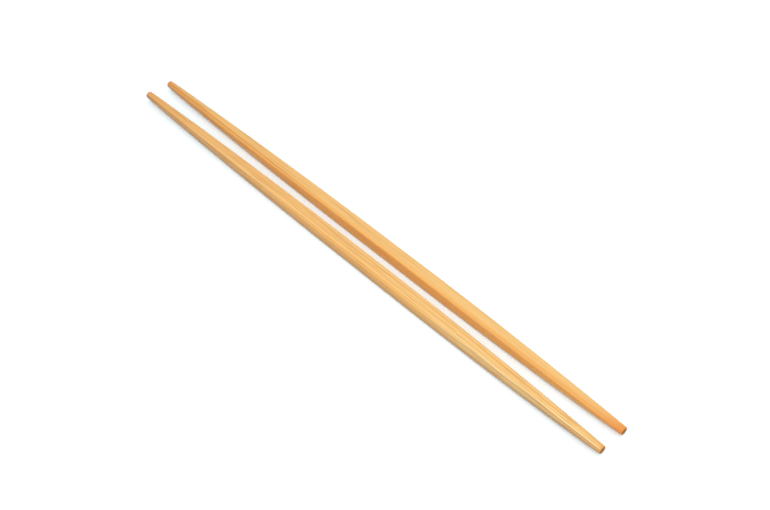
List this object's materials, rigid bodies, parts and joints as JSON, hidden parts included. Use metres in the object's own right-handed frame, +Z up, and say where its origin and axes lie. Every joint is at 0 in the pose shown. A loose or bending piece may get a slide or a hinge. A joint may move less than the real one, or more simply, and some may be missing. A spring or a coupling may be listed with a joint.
{
  "type": "pair of chopsticks",
  "caption": "Slim straight-grained wooden chopsticks lying side by side, tapered to both ends, with a square belly and corner flats, for picking up food.",
  "frame": {"origin": "on the surface that the bellies rest on, midway along the sticks and midway between them", "axes": "+X along the sticks towards the top ends, +Y from the front stick to the back one, +Z up"},
  "size_m": [0.24, 0.0156, 0.0052],
  "materials": {
    "stick_wood": "planed and sanded straight-grained wood, honey coloured, satin"
  },
  "bodies": {
    "root": {"front_chopstick": "stick_wood", "back_chopstick": "stick_wood"}
  },
  "joints": []
}
